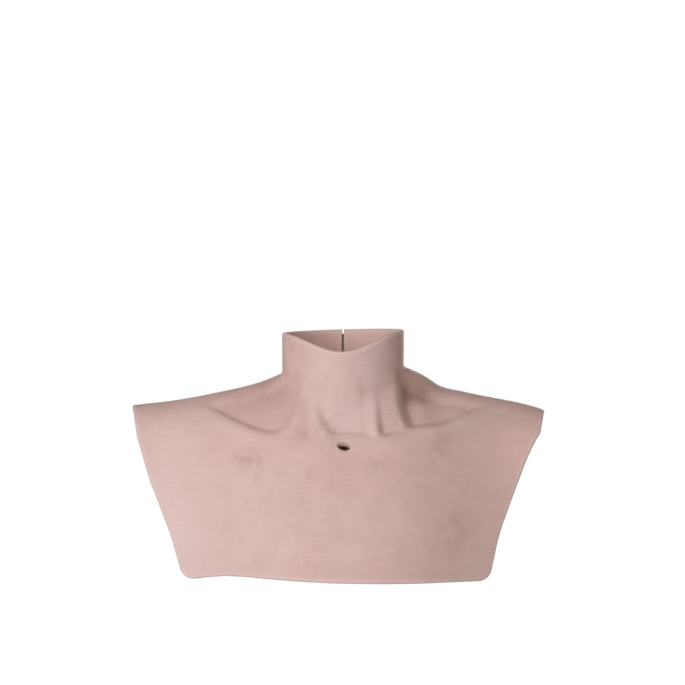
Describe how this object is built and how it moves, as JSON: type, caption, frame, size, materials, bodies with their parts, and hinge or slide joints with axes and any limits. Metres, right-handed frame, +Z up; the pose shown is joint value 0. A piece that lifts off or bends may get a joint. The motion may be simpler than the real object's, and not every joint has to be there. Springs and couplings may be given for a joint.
{
  "type": "tracheostomy simulation collar",
  "caption": "Cast silicone skin overlay for neck, shoulders and chest, with a stoma, a trachea sleeve behind it and hook-and-loop closing tapes at the nape.",
  "frame": {"origin": "the middle of the wearer's neck, at the height where the neck sleeve meets the shoulders", "axes": "+Z up the neck, -Y out of the chest, +X to the right as the collar is seen from the front"},
  "size_m": [0.394, 0.1869, 0.235],
  "materials": {
    "skin_silicone": "matt, faintly mottled skin-coloured silicone",
    "sleeve_silicone": "satin skin-coloured silicone",
    "webbing": "woven beige tape",
    "hook_tape": "beige hook tape",
    "loop_tape": "beige brushed loop tape"
  },
  "bodies": {
    "root": {"collar_skin": "skin_silicone", "trachea_sleeve": "sleeve_silicone", "nape_strap": "webbing", "nape_hook_pad": "hook_tape", "nape_loop_patch": "loop_tape", "back_strap": "webbing", "back_hook_pad": "hook_tape", "back_loop_patch": "loop_tape"}
  },
  "joints": []
}
